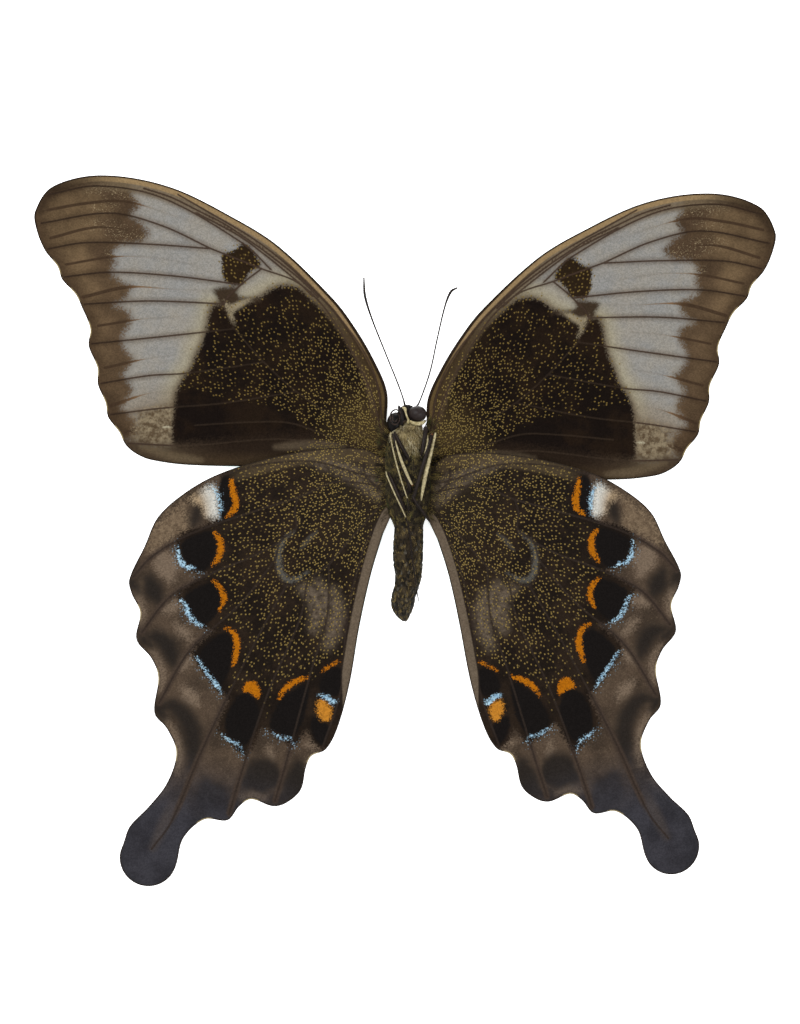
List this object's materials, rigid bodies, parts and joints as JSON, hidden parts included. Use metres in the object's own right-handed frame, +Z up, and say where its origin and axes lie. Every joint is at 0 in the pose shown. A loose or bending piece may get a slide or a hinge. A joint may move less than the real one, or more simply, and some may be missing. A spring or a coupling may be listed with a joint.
{
  "type": "peranthus swallowtail butterfly specimen",
  "caption": "Set dry swallowtail butterfly lying on its back with wings spread, underside up, with tailed hindwings, folded legs and two feelers.",
  "frame": {"origin": "middle of the footprint of the whole specimen, on the surface it lies on", "axes": "+X from the animal's right wings to its left wings, +Y towards its head, +Z up, out of its underside"},
  "size_m": [0.0951, 0.0913, 0.0072],
  "materials": {
    "wing": "matt scaled membrane, black-brown with gold flecks, pale outer fields and orange and blue crescents",
    "body": "dark brown scales and olive hair",
    "face": "cream hair scales",
    "eye": "dull dark brown, finely faceted",
    "feeler": "black horny rod with fine rings",
    "leg": "black horn with a cream stripe"
  },
  "bodies": {
    "root": {"thorax": "body", "abdomen": "body", "head": "face", "eye_right": "eye", "eye_left": "eye", "palp_right": "face", "palp_left": "face", "proboscis": "feeler", "antenna_right": "feeler", "antenna_left": "feeler", "forewing_right": "wing", "forewing_left": "wing", "hindwing_right": "wing", "hindwing_left": "wing", "leg_fore_right": "leg", "leg_fore_left": "leg", "leg_mid_right": "leg", "leg_mid_left": "leg", "leg_hind_right": "leg", "leg_hind_left": "leg"}
  },
  "joints": []
}
